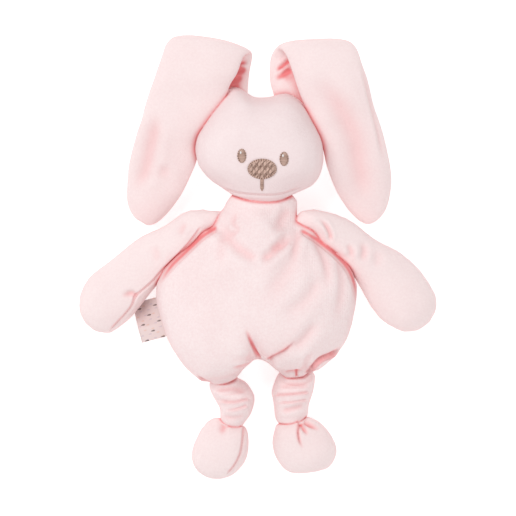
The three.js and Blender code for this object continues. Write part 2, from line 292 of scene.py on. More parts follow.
def crease(piece, path, width, depth, ends=(0.25, 0.25), ridge=0.35, painted_shade=1.0, side=0.33,
           top=1000):
    """Presses a soft valley into the cloth along a path, with a low ridge on either side, and paints shade into
    the valley's colour.
    Sizes are in millimetres. `ends` is the share of the path over which it fades out, and `side` is how
    level the cloth has to be to take the whole depth. Cloth higher than `top` isn't touched."""
    co = points_of(piece)
    distance, place = along(co, rounded(path))
    d = np.abs(distance) / (width * MM)
    fade = faded(place, ends)
    up = np.clip(normals_of(piece)[:, 2] / side, 0, 1) * (co[:, 2] < top * MM)
    valley = np.exp(-d * d)
    bank = np.exp(-((d - 2.1) / 0.9) ** 2)
    lift = (ridge * bank - valley) * fade * up * depth * MM
    move_points(piece, co + normals_of(piece) * lift[:, None])
    paint_fold_shade(piece, painted_shade * valley * fade * up)


def creases(piece, rows, top=1000):
    """Presses in one crease after another, each given as (path, width, depth, ends, stain), the last being how
    much shade is painted in.
    """
    for path, width, depth, ends, painted_shade in rows:
        crease(piece, path, width, depth, ends, painted_shade=painted_shade, top=top)


def overlap(piece, path, width, height, ends=(0.25, 0.25), painted_shade=1.0):
    """Lifts the cloth on the left of a path over the cloth on its right, as a lapped fold, and paints shade along
    the fold line.
    """
    co = points_of(piece)
    distance, place = along(co, rounded(path))
    fade = faded(place, ends)
    d = distance / (width * MM)
    over = np.where(d > 0, np.exp(-d), 0) * np.clip(d * 6, 0, 1)
    under = np.where(d <= 0, np.exp(-(d * 3) ** 2), 0)
    up = facing_up(piece)
    lift = (over - 0.6 * under) * fade * up * height * MM
    move_points(piece, co + normals_of(piece) * lift[:, None])
    paint_fold_shade(piece, painted_shade * np.exp(-(d * 3.2) ** 2) * fade * up)


def swell(piece, centre, radius, height):
    """A soft bulge, or a hollow where the height is negative."""
    co = points_of(piece)
    off = (co[:, :2] - np.array(centre) * MM) / (radius * MM)
    lift = np.exp(-(off ** 2).sum(1)) * facing_up(piece) * height * MM
    move_points(piece, co + normals_of(piece) * lift[:, None])


def soften(piece, size, height, seed):
    """The unevenness of loose filling under the cloth."""
    co = points_of(piece)
    shift = Vector((seed * 7.3, seed * 3.1, seed * 5.7))
    lift = np.array([noise.noise(Vector(p) / (size * MM) + shift) for p in co]) * height * MM
    move_points(piece, co + normals_of(piece) * lift[:, None])


def paint_hollow_shade(piece, gain):
    """Finds the hollows of the finished surface and paints shade into the nap's colour there."""
    mesh = piece.data
    edges = np.empty(len(mesh.edges) * 2, np.int64)
    mesh.edges.foreach_get("vertices", edges)
    a, b = edges.reshape(-1, 2).T
    co, facing = points_of(piece), normals_of(piece)
    count = np.bincount(np.concatenate([a, b]), minlength=len(co)).clip(1)
    gap = np.linalg.norm(co[a] - co[b], axis=1).mean()
    total = np.stack([
        np.bincount(np.concatenate([a, b]), np.concatenate([co[b, i], co[a, i]]), len(co))
        for i in range(3)
    ], axis=1)
    bend = ((total / count[:, None] - co) * facing).sum(1) / gap ** 2
    for _ in range(6):
        around = np.bincount(np.concatenate([a, b]), np.concatenate([bend[b], bend[a]]), len(co))
        bend = 0.5 * bend + 0.5 * around / count
    paint_fold_shade(piece, np.clip(bend * gain * MM, 0, 0.8))


def paint_contact_shade(piece, others, reach):
    """Paints shade into the cloth's colour where another piece lies close over it."""
    vertices, faces = [], []
    for other in others:
        start = len(vertices)
        vertices += [v.co for v in other.data.vertices]
        faces += [[start + i for i in f.vertices] for f in other.data.polygons]
    near = BVHTree.FromPolygons(vertices, faces)
    amount = []
    for place, facing in zip(points_of(piece), normals_of(piece)):
        place = Vector(place)
        found, _, _, distance = near.find_nearest(place, reach * MM)
        if found is None or distance < 1e-9:
            amount.append(0)
            continue
        ahead = (found - place).dot(Vector(facing)) / distance
        amount.append((1 - distance / (reach * MM)) ** 2 * min(1, max(0, ahead * 1.5 + 0.3)))
    paint_fold_shade(piece, np.array(amount))


def paint_covered_shade(piece, reach):
    """Paints shade into the colour where a piece folds over itself."""
    own = BVHTree.FromObject(piece, bpy.context.evaluated_depsgraph_get())
    amount = []
    for place, facing in zip(points_of(piece), normals_of(piece)):
        total = 0
        for lean in ((0, 0), (0.6, 0), (-0.6, 0), (0, 0.6), (0, -0.6)):
            ray = (Vector(facing) + Vector((*lean, 0))).normalized()
            hit = own.ray_cast(Vector(place) + ray * MM, ray, reach * MM)[3]
            total += 0 if hit is None else 1 - hit / (reach * MM)
        amount.append(total / 5)
    paint_fold_shade(piece, np.array(amount))


def join(piece, others):
    """Adds other meshes to a piece, and removes them."""
    whole = bmesh.new()
    whole.from_mesh(piece.data)
    for other in others:
        whole.from_mesh(other.data)
        bpy.data.objects.remove(other)
    whole.to_mesh(piece.data)
    whole.free()
    piece.data.polygons.foreach_set("use_smooth", [True] * len(piece.data.polygons))


def filled(name, filling, grow, voxel, extra=()):
    """Starts a stuffed piece from the filling that the frame holds for it, grown to the cloth."""
    shell = bmesh.new()
    shell.from_mesh(frame["nodes"][filling].data)
    bmesh.ops.remove_doubles(shell, verts=shell.verts, dist=1e-5)
    bmesh.ops.recalc_face_normals(shell, faces=shell.faces)
    shell.normal_update()
    for vert in shell.verts:
        vert.co += vert.normal * grow * MM
    mesh = bpy.data.meshes.new(name)
    shell.to_mesh(mesh)
    shell.free()
    piece = bpy.data.objects.new(name, mesh)
    scene.collection.objects.link(piece)
    join(piece, extra)
    remesh(piece, voxel * MM)
    return piece


def smooth_rows(rows, steps):
    """A smooth run of in-between values through rows of numbers."""
    rows = [np.array(r, float) for r in rows]
    p = [2 * rows[0] - rows[1]] + rows + [2 * rows[-1] - rows[-2]]
    out = []
    for i in range(1, len(p) - 2):
        for k in range(steps):
            t = k / steps
            a, b, c, d = p[i - 1:i + 3]
            out.append(0.5 * (2 * b + (c - a) * t + (2 * a - 5 * b + 4 * c - d) * t * t
                              + (3 * b - a - 3 * c + d) * t ** 3))
    out.append(rows[-1])
    return np.array(out)


def bag(name, stations, around=44, steps=8, pinch=0.85):
    """A sewn cloth tube through stations of (left edge, right edge, half thickness), in mm."""
    rows = smooth_rows([(*left, *right, thick) for left, right, thick in stations], steps) * MM
    left, right, thick = rows[:, :3], rows[:, 3:6], rows[:, 6]
    middle = (left + right) / 2
    across = (right - left) / 2
    run = np.gradient(middle, axis=0)
    run /= np.linalg.norm(run, axis=1, keepdims=True)
    out = np.cross(run, across)
    out /= np.linalg.norm(out, axis=1, keepdims=True)
    angles = np.arange(around) / around * 2 * math.pi
    cos, sin = np.cos(angles), np.sin(angles)
    wide = np.sign(cos) * np.abs(cos) ** pinch
    vertices, faces = [], []
    for m, x, n, t in zip(middle, across, out, np.maximum(thick, 0.0002)):
        vertices += [m + x * w + n * t * s for w, s in zip(wide, sin)]
    for k in range(len(rows) - 1):
        for i in range(around):
            j = (i + 1) % around
            faces.append((k * around + i, k * around + j, (k + 1) * around + j, (k + 1) * around + i))
    last = (len(rows) - 1) * around
    for base, centre in ((0, middle[0]), (last, middle[-1])):
        vertices.append(centre)
        tip = len(vertices) - 1
        faces += [(base + i, base + (i + 1) % around, tip) for i in range(around)]
    return add_piece(name, vertices, faces)


def cover(piece, cloth):
    """Makes a piece of one cloth or thread."""
    piece.data.materials.clear()
    piece.data.materials.append(cloth)


def sewn(name):
    """The three CAD nodes of a stuffed part."""
    return [f"{name}_{layer}" for layer in ("front_panel", "back_panel", "stuffing")]


def hinge(name):
    return next(joint for joint in frame["joints"] if joint["name"] == name)


def feed(tree, socket, value):
    """Links an output to a socket, or sets the socket to a number, a name or a colour."""
    if isinstance(value, bpy.types.NodeSocket):
        tree.links.new(value, socket)
    elif socket.type == "RGBA":
        socket.default_value = (*value, 1)
    else:
        socket.default_value = value


def node(tree, kind, inputs, **settings):
    """Adds a node with its settings, and feeds its inputs with values or with other nodes' outputs."""
    made = tree.nodes.new(kind)
    for setting, value in settings.items():
        setattr(made, setting, value)
    for socket, value in inputs.items():
        feed(tree, made.inputs[socket], value)
    return made


def maths(tree, kind, *values, clamp=False):
    return node(tree, "ShaderNodeMath", dict(enumerate(values)), operation=kind, use_clamp=clamp).outputs[0]


def mixed(tree, share, first, second):
    """A colour that lies between two others."""
    return node(tree, "ShaderNodeMix", {0: share, 6: first, 7: second}, data_type="RGBA").outputs[2]


def new_material(name, finish):
    """A material, its node tree and its shader."""
    material = bpy.data.materials.new(name)
    material.use_nodes = True
    tree = material.node_tree
    shader = tree.nodes["Principled BSDF"]
    for socket, value in finish.items():
        feed(tree, shader.inputs[socket], value)
    return material, tree, shader


def roughen(tree, shader, height, strength, distance):
    """Gives a material a fine relief."""
    bump = node(tree, "ShaderNodeBump", {"Strength": strength, "Distance": distance, "Height": height})
    feed(tree, shader.inputs["Normal"], bump.outputs["Normal"])


# Velour: short cut pile on a knitted back. Light slides over the pile as a soft sheen, and the pile leans in
# patches. Shade is painted
# into its colour: it turns coral in folds, hollows and between pieces, standing in for the light the pink cloth
# bounces there.
PILE_LIGHT = (0.965, 0.825, 0.825)
PILE_LEANING = (0.925, 0.748, 0.750)
# The coral of the painted shade in folds, hollows and between pieces.
FOLD_SHADE_CORAL = (0.88, 0.19, 0.20)


def velour(name, light, leaning, rib_pitch=0.0, rib_depth=0.0, rim=0.13):
    """`light` and `leaning` are the pile's two tones, and `rim` is how much painted edge shade darkens it towards
    its outline, partly the deeper look of pile seen at a slant.
    """
    material, tree, shader = new_material(name, {
        "Roughness": 0.95, "Specular IOR Level": 0.15,
        "Sheen Weight": 0.12, "Sheen Roughness": 0.45, "Sheen Tint": (1.0, 0.93, 0.92),
    })
    place = node(tree, "ShaderNodeTexCoord", {}).outputs["Object"]

    def grain(scale, detail):
        noise_node = node(tree, "ShaderNodeTexNoise", {"Vector": place, "Scale": scale, "Detail": detail})
        return noise_node.outputs["Fac"]

    def spread(value, low, high, most):
        return node(tree, "ShaderNodeMapRange", {
            "Value": value, "From Min": low, "From Max": high, "To Min": 0, "To Max": most,
        }).outputs["Result"]

    def total(first, first_share, second, second_share):
        return maths(tree, "ADD", maths(tree, "MULTIPLY", first, first_share),
                     maths(tree, "MULTIPLY", second, second_share))

    patches = spread(grain(38, 2), 0.38, 0.66, 1)
    nap = spread(grain(520, 3), 0.35, 0.65, 1)
    cloth = mixed(tree, total(patches, 0.4, nap, 0.6), light, leaning)
    # The fold layer is painted shade, and so is the darkening towards the outline below.
    fold = node(tree, "ShaderNodeAttribute", {}, attribute_name="fold").outputs["Fac"]
    slant = node(tree, "ShaderNodeLayerWeight", {"Blend": 0.5}).outputs["Facing"]
    depth = total(fold, 0.85, spread(slant, 0.45, 1.0, rim), 1)
    feed(tree, shader.inputs["Base Color"], mixed(tree, depth, cloth, FOLD_SHADE_CORAL))
    height = total(grain(1500, 4), 0.6, grain(420, 2), 0.4)
    if rib_pitch:
        ribs = node(tree, "ShaderNodeTexWave", {
            "Vector": place, "Scale": 2 * math.pi / (20 * rib_pitch), "Distortion": 1.2, "Detail Scale": 0.6,
        })
        height = total(height, 1, ribs.outputs["Fac"], rib_depth)
    roughen(tree, shader, height, 0.6, 0.0008)
    return material


body_velour = velour("body_velour", PILE_LIGHT, PILE_LEANING, rib_pitch=0.0019, rib_depth=0.12)

# The neck runs up inside the head, and a short tube leaves each lobe for its leg knot.
neck = bag("neck", [
    ((-44, 10, 38), (46, 10, 38), 22),
    ((-38, 24, 38), (39, 24, 38), 22),
    ((-37, 36, 38), (37.5, 36, 38), 21),
    ((-27, 46, 38), (33.5, 45, 38), 20),
    ((-20, 56, 38), (28, 55, 38), 16),
])
right_tube = bag("right_tube", [
    ((-44, -84, 34), (-12, -84, 34), 14),
    ((-41, -96, 30), (-14, -96, 30), 12),
    ((-37, -104, 27), (-18, -104, 27), 9),
])
left_tube = bag("left_tube", [
    ((16, -78, 34), (50, -78, 34), 14),
    ((17.5, -90, 30), (46, -90, 30), 12),
    ((20, -99, 27), (42, -99, 27), 9),
])
body = filled("body", "body_stuffing", 3, 4, extra=(neck, right_tube, left_tube))
inflate(body, 4, 4 * MM)
refine(body)
fit_rim(body, [
    (-35, 37), (-44, 27.5), (-55.5, 14), (-69, 1.5), (-80.5, -14), (-83, -28), (-81, -40), (-77, -52),
    (-73, -65),
    (-67, -76), (-58, -88), (-46, -98), (-38, -101), (-22, -100), (-14, -92), (-5, -83), (4, -82), (12, -87),
    (18, -96), (42, -94), (48, -91), (59, -81), (70, -68), (76, -53), (79, -37), (80.5, -22), (74, -4),
    (57, 12.5), (48.5, 21.5), (38, 35), (0, 60),
], (0, -32), limit=47)
lay_down(body)
soften(body, 38, 1.1, 1)
# Each crease also paints shade into its valley, as much as the last number of its row.
creases(body, [
    ([(-31, 30), (-20.2, 13.4), (-9.2, 5), (0.6, -1)], 4, 2.8, (0.3, 0.2), 0.2),
    ([(0.6, -1), (8, 3), (17, 11), (29, 22)], 3.4, 3.2, (0.2, 0.3), 0.22),
    ([(-27.9, 21.2), (-30.3, 6.5), (-31.1, -8.1)], 4, 1.6, (0.2, 0.6), 0.12),
    ([(32, 26), (30, 10), (26.6, -6)], 3, 2.6, (0.25, 0.5), 0.2),
    ([(-18.1, 40.7), (-20.2, 30.9), (-16.8, 25.2), (-20.6, 21.2),
      (-25.4, 19.9)], 2, 1.4, (0.25, 0.25), 0.15),
    ([(25.6, 42.8), (19.3, 31.7), (12.5, 21.2)], 4, 2.2, (0.2, 0.5), 0.15),
    ([(19, 13.4), (10.3, 6.9)], 3, 1.0, (0.25, 0.25), 0.1),
    ([(44, 22), (52, 6), (56, -12), (53.9, -30)], 3.4, 2.2, (0.2, 0.5), 0.18),
    ([(64, 4), (68, -14), (66, -34), (60, -52)], 3.6, 1.6, (0.2, 0.4), 0.15),
    ([(32.3, 4.9), (17.6, -16.2), (0.6, -37.3)], 6, 2.8, (0.3, 0.5), 0.08),
    ([(53.4, -8.1), (37.9, -32.5), (12.8, -47.1)], 5, 2.6, (0.3, 0.5), 0.1),
    ([(50, -46), (38.8, -61), (26, -74)], 4, 2.2, (0.4, 0.3), 0.15),
    ([(-12, -50), (-6, -64), (1, -80)], 6, 1.8, (0.7, 0.05), 0.12),
    ([(34, -60), (20, -72), (7, -81)], 5, 1.4, (0.5, 0.05), 0.1),
])
divide(body)
creases(body, [
    ([(-25, 57), (-11, 49.8), (3, 47.6), (18, 48.6), (28, 54)], 1.6, 1.2, (0.1, 0.1), 0.2),
    ([(-10.8, -52.8), (-8, -60), (-5.1, -66.6), (1.4, -80.4)], 1.2, 2.4, (0.5, 0.02), 0.8),
])
overlap(body, [(7.4, -80.4), (11.1, -76.3), (21.7, -70.7), (31.2, -63.3)], 5, 2.4,
        ends=(0.05, 0.5), painted_shade=0.7)
creases(body, [
    ([(-22.4, -86.9), (-14.9, -86.1), (-5.9, -83.7)], 1.4, 1.4, (0.5, 0.05), 0.5),
    ([(-24, -80), (-12, -80), (-3, -78)], 3, 0.8, (0.5, 0.2), 0.1),
])
overlap(body, [(-37.9, -99.6), (-44.9, -96.7), (-51, -92.6)], 3, 1.8, ends=(0.1, 0.4), painted_shade=0.6)
overlap(body, [(68.8, -69.8), (59.9, -75.5), (50.1, -79.6), (44.4, -85.3), (39.6, -93.1)], 5, 3.2,
        ends=(0.3, 0.05), painted_shade=0.7)
creases(body, [
    ([(46, -72), (40, -80), (37, -90)], 2.4, 1.2, (0.5, 0.1), 0.15),
    ([(20.1, -91.4), (27.4, -90), (36.3, -89.3)], 1.1, 1.2, (0.25, 0.25), 0.5),
    ([(30.6, -87.4), (30.9, -91), (31.1, -95)], 0.9, 1.6, (0.2, 0.05), 1),
])
# Under each arm a valley is pressed in, then a line of painted shade with no depth of its own.
for under_arm in ([(-33, 27), (-47, 17.5), (-59.5, 5.5), (-71.5, -6.5), (-81, -21)],
                  [(33, 24.5), (41, 20.5), (52, 13), (70, -3.5), (78, -20), (79, -38)]):
    crease(body, under_arm, 2.4, 3, ends=(0.05, 0.3), ridge=0, painted_shade=0.15)
    crease(body, under_arm, 1.3, 0, ends=(0.05, 0.3), painted_shade=1, side=0.02)
paint_hollow_shade(body, 0.3)
cover(body, body_velour)
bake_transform(body, "torso", "head", start=(0, 0.036, 0.038), end=(0, 0.052, 0.038))
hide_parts(*sewn("body"))

# ---- Head: a rounded wedge of smoother, short-pile jersey velour ----
# The face and the back of the head are sewn along a seam that runs under the chin.
head_velour = velour("head_velour", (0.935, 0.800, 0.803), (0.905, 0.755, 0.760), rim=0.06)
head = filled("head", "head_stuffing", 3, 4)
inflate(head, 4, 3 * MM)
refine(head)
fit_rim(head, [
    (-20, 141), (-28, 136), (-35, 125), (-41, 115), (-47, 106), (-51, 97), (-51, 88), (-48.5, 77),
    (-40, 66), (-29, 58.5), (-21, 53.5), (-11, 49.5),
    (3, 47.5), (14, 48), (26, 52.5), (34, 56), (44, 61), (50, 69), (53, 79), (52.5, 93), (48, 106),
    (42.5, 117),
    (37.5, 125.5), (31, 132), (22.5, 136), (14, 134), (7, 132.6), (-3, 132.8), (-8, 136.5), (-12, 141),
], (2, 88))
lay_down(head)
soften(head, 30, 1.0, 2)
# The chin stands out a little over the neck.
co = points_of(head)
chin = np.exp(-((co[:, 0] - 0.003) / 0.034) ** 2) * np.exp(-((co[:, 2] - 0.056) / 0.014) ** 2)
chin *= np.clip((0.066 - co[:, 1]) / 0.016, 0, 1)
co[:, 1] -= 0.0035 * chin
move_points(head, co)
relax_skin(head, 1)
divide(head)
CHIN_SEAM = [(-30, 58.5), (-16, 54), (3, 52.2), (18, 53), (34, 58.5)]
crease(head, CHIN_SEAM, 0.9, 0.8, ends=(0.1, 0.1), painted_shade=0.15, side=0.05)
paint_hollow_shade(head, 0.15)
cover(head, head_velour)
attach(head, "head")
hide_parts(*sewn("head"))

# ---- Face: satin stitch in one strand of taupe thread, and white for the glint in each eye ----
# An eye is one column of level stitches. The nose has a radial border round a crossed filling, and the
# mouth is a narrow column that tapers downwards.
head_skin = BVHTree.FromObject(head, bpy.context.evaluated_depsgraph_get())


def cast_down(skin, x, y):
    """What a ray from high above a place in plan (mm) meets first, and which way that faces."""
    return skin.ray_cast(Vector((x * MM, y * MM, 0.2)), Vector((0, 0, -1)))[:2]


def on_cloth(skin, x, y, above=0.0):
    """The point of the cloth under a place in plan (mm), and which way the cloth faces there."""
    place, facing = cast_down(skin, x, y)
    return place + facing * above * MM, facing


def thread_tree():
    """Geometry Nodes: lays one rounded strand on every point, turned along "run" and as long as "reach"."""
    tree = bpy.data.node_groups.new("stitches", "GeometryNodeTree")
    for label, kind in (("Geometry", "Geometry"), ("Width", "Float"), ("Height", "Float"),
                        ("Unevenness", "Float"), ("Seed", "Int"), ("Material", "Material")):
        tree.interface.new_socket(label, in_out="INPUT", socket_type=f"NodeSocket{kind}")
    tree.interface.new_socket("Geometry", in_out="OUTPUT", socket_type="NodeSocketGeometry")
    given = tree.nodes.new("NodeGroupInput").outputs

    def read(name, kind):
        stored = node(tree, "GeometryNodeInputNamedAttribute", {"Name": name}, data_type=kind)
        return stored.outputs["Attribute"]

    def vary(shift):
        """A number from 0 to 1 that differs per stitch."""
        seed = maths(tree, "ADD", given["Seed"], shift)
        return node(tree, "FunctionNodeRandomValue", {2: 0, 3: 1, "Seed": seed}, data_type="FLOAT").outputs[1]

    strand = node(tree, "GeometryNodeMeshUVSphere", {"Segments": 10, "Rings": 8, "Radius": 0.5})
    along_run = node(tree, "FunctionNodeAlignRotationToVector", {
        "Vector": read("run", "FLOAT_VECTOR"),
    }, axis="X")
    upright = node(tree, "FunctionNodeAlignRotationToVector", {
        "Rotation": along_run.outputs["Rotation"], "Vector": read("out", "FLOAT_VECTOR"),
    }, axis="Z", pivot_axis="X")
    uneven = node(tree, "ShaderNodeMapRange", {
        "Value": vary(1), "To Min": 1, "To Max": maths(tree, "ADD", given["Unevenness"], 1),
    }).outputs["Result"]
    size = node(tree, "ShaderNodeCombineXYZ", {
        0: read("reach", "FLOAT"),
        1: maths(tree, "MULTIPLY", given["Width"], uneven),
        2: maths(tree, "MULTIPLY", given["Height"], uneven),
    })
    laid = node(tree, "GeometryNodeInstanceOnPoints", {
        "Points": given["Geometry"], "Instance": strand.outputs["Mesh"],
        "Rotation": upright.outputs["Rotation"], "Scale": size.outputs[0],
    })
    toned = node(tree, "GeometryNodeStoreNamedAttribute", {
        "Geometry": laid.outputs["Instances"], "Name": "strand",
        "Value": maths(tree, "MULTIPLY_ADD", vary(7), 0.45, read("shade", "FLOAT")),
    }, data_type="FLOAT", domain="INSTANCE")
    real = node(tree, "GeometryNodeRealizeInstances", {"Geometry": toned.outputs["Geometry"]})
    coat = node(tree, "GeometryNodeSetMaterial", {
        "Geometry": real.outputs["Geometry"], "Material": given["Material"],
    })
    node(tree, "NodeGroupOutput", {"Geometry": coat.outputs["Geometry"]})
    return tree


stitches = thread_tree()


def sew(name, points, width, height, material, seed):
    """Embroiders stitches given as (middle, outward, run, length, tone), in metres."""
    middles, *others = zip(*points)
    mesh = bpy.data.meshes.new(name)
    mesh.from_pydata([tuple(middle) for middle in middles], [], [])
    for label, rows in zip(("out", "run", "reach", "shade"), others):
        is_vector = label in ("out", "run")
        layer = mesh.attributes.new(label, "FLOAT_VECTOR" if is_vector else "FLOAT", "POINT")
        layer.data.foreach_set("vector" if is_vector else "value", np.array(rows, np.float32).ravel())
    piece = bpy.data.objects.new(name, mesh)
    scene.collection.objects.link(piece)
    modifier = piece.modifiers.new("stitches", "NODES")
    modifier.node_group = stitches
    wanted = {
        "Width": width * MM, "Height": height * MM, "Unevenness": 0.25, "Seed": seed, "Material": material,
    }
    for socket in stitches.interface.items_tree:
        if socket.in_out == "INPUT" and socket.name in wanted:
            modifier[socket.identifier] = wanted[socket.name]
    settle(piece)
    cover(piece, material)
    piece.data.polygons.foreach_set("material_index", [0] * len(piece.data.polygons))
    return piece


def stitch(skin, a, b, above, tone=0.25):
    """One stitch between two places in plan, lying on the cloth. The tone runs from 0 dark to 1 light."""
    start, _ = on_cloth(skin, *a, above)
    end, _ = on_cloth(skin, *b, above)
    middle, facing = on_cloth(skin, (a[0] + b[0]) / 2, (a[1] + b[1]) / 2, above)
    run = end - start
    return (start + end) / 2 * 0.4 + middle * 0.6, facing, run.normalized(), run.length * 1.04, tone


def thread(name, dark, light):
    """Shiny spun thread: every strand has its own tone and a fine twist."""
    material, tree, shader = new_material(name, {"Roughness": 0.6, "Specular IOR Level": 0.05})
    place = node(tree, "ShaderNodeTexCoord", {}).outputs["Object"]
    tone = node(tree, "ShaderNodeAttribute", {}, attribute_name="strand").outputs["Fac"]
    twist = node(tree, "ShaderNodeTexWave", {"Vector": place, "Scale": 900, "Distortion": 1.5},
                 bands_direction="DIAGONAL").outputs["Fac"]
    lint = node(tree, "ShaderNodeTexNoise", {"Vector": place, "Scale": 2500}).outputs["Fac"]
    share = maths(tree, "MULTIPLY_ADD", twist, 0.25, tone, clamp=True)
    feed(tree, shader.inputs["Base Color"], mixed(tree, share, dark, light))
    roughen(tree, shader, lint, 0.5, 0.0001)
    return material


taupe = thread("taupe_thread", (0.20, 0.110, 0.085), (0.72, 0.51, 0.43))
white_thread = thread("white_thread", (0.80, 0.78, 0.76), (0.95, 0.94, 0.93))


def oval(centre, size, angle):
    return centre[0] + size[0] / 2 * math.cos(angle), centre[1] + size[1] / 2 * math.sin(angle)


def satin_oval(skin, centre, size, tilt, pitch, above):
    """Level stitches from edge to edge of an oval, laid close together."""
    rows = []
    count = int(size[1] / pitch)
    for i in range(count):
        v = (i + 0.5) / count * 2 - 1
        half = size[0] / 2 * math.sqrt(1 - v * v)
        lean = v * size[1] / 2
        middle = (centre[0] - lean * math.sin(tilt), centre[1] + lean * math.cos(tilt))
        side = (half * math.cos(tilt), half * math.sin(tilt))
        rows.append(stitch(skin, (middle[0] - side[0], middle[1] - side[1]),
                           (middle[0] + side[0], middle[1] + side[1]), above))
    return rows


def pad(name, skin, centre, size, rise):
    """The raised ground under an embroidered oval, sunk into the cloth at its edge."""
    vertices, faces, around, rings = [], [], 40, 7
    for ring in range(rings + 1):
        share = ring / rings
        for i in range(around):
            angle = i / around * 2 * math.pi
            at = oval(centre, (size[0] * share, size[1] * share), angle)
            lift = rise * math.sqrt(1 - share * share) - 0.25 * (ring == rings)
            vertices.append(on_cloth(skin, *at, lift)[0])
    for ring in range(rings):
        for i in range(around):
            j = (i + 1) % around
            a, b = ring * around, (ring + 1) * around
            faces.append((a + i, b + i, b + j, a + j))
    base = rings * around
    vertices.append(on_cloth(skin, *centre, -0.6)[0])
    faces += [(base + i, len(vertices) - 1, base + (i + 1) % around) for i in range(around)]
    return add_piece(name, vertices, faces)


def edging(skin, centre, size, depth, count, above):
    """Short stitches across the rim of an oval, light and dark by turns."""
    rows = []
    for i in range(count):
        angle = i / count * 2 * math.pi
        outer = oval(centre, size, angle)
        inner = oval(centre, (size[0] - 2 * depth, size[1] - 2 * depth), angle)
        rows.append(stitch(skin, inner, outer, above, -0.3 if i % 4 < 2 else 0.75))
    return rows


for side, x, y, tilt in (("right", -13.1, 83.2, 0.06), ("left", 20.6, 80.8, -0.06)):
    ground = pad(f"{side}_eye_ground", head_skin, (x, y), (6.6, 10.4), 0.4)
    ground.data.materials.append(taupe)
    rows = satin_oval(head_skin, (x, y), (6.0, 9.8), tilt, 0.42, 0.5)
    rows += edging(head_skin, (x, y), (7.4, 11.3), 0.9, 64, 0.35)
    eye = sew(f"{side}_eye_thread", rows, 0.58, 0.5, taupe, 3)
    join(eye, [ground])
    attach(eye, "head")
    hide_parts(f"{side}_eye")
    glint = sew(f"{side}_eye_glint", satin_oval(head_skin, (x - 0.9, y + 2.6), (1.5, 2.0), 0, 0.4, 0.9),
                0.5, 0.45, white_thread, 5)
    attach(glint, "head")
    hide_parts(f"{side}_eye_highlight")

NOSE_CENTRE = (3.1, 73.0)
NOSE_SIZE = (23.4, 16.0)
NOSE_BORDER = 1.9
COLUMN = 2.2
ROW = 0.6
PATCH_ROWS = 5  # stitches that lean one way before the next few lean the other way
MIDDLE_ROW = 12
STITCH_LEAN = 0.7
nose_rows = edging(head_skin, NOSE_CENTRE, NOSE_SIZE, NOSE_BORDER, 140, 0.75)
field = (NOSE_SIZE[0] / 2 - NOSE_BORDER, NOSE_SIZE[1] / 2 - NOSE_BORDER)
for column in range(-5, 6):
    for row in range(-MIDDLE_ROW, MIDDLE_ROW + 1):
        u = column * COLUMN
        v = row * ROW + 0.9 * (column % 2)
        if (u / field[0]) ** 2 + (v / field[1]) ** 2 > 1:
            continue
        # Stitches of the one taupe thread that lean one way get a lighter tone: painted sheen, as the light
        # catches them.
        rising = (column + (row + MIDDLE_ROW) // PATCH_ROWS) % 2 == 0
        lean = STITCH_LEAN if rising else -STITCH_LEAN
        half = (0.72 * COLUMN * math.cos(lean), 0.72 * COLUMN * math.sin(lean))
        at = (NOSE_CENTRE[0] + u, NOSE_CENTRE[1] + v)
        nose_rows.append(stitch(head_skin, (at[0] - half[0], at[1] - half[1]),
                                (at[0] + half[0], at[1] + half[1]), 0.95, 0.55 if rising else 0.0))
ground = pad("nose_ground", head_skin, NOSE_CENTRE, (22.4, 15.0), 0.75)
ground.data.materials.append(taupe)
nose = sew("nose_thread", nose_rows, 0.68, 0.6, taupe, 11)
join(nose, [ground])
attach(nose, "head")
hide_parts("nose")

MOUTH_STITCHES = 26
mouth_rows = []
for i in range(MOUTH_STITCHES):
    share = i / (MOUTH_STITCHES - 1)
    half = 1.5 if share < 0.8 else 1.5 - 1.1 * (share - 0.8) / 0.2
    y = 65.6 - 9.8 * share
    tone = 0.1 + 0.3 * (i % 2)
    mouth_rows.append(stitch(head_skin, (3 - half, y + 0.15), (3 + half, y - 0.15), 0.35, tone))
mouth = sew("mouth_thread", mouth_rows, 0.6, 0.8, taupe, 17)
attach(mouth, "head")
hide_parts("mouth")

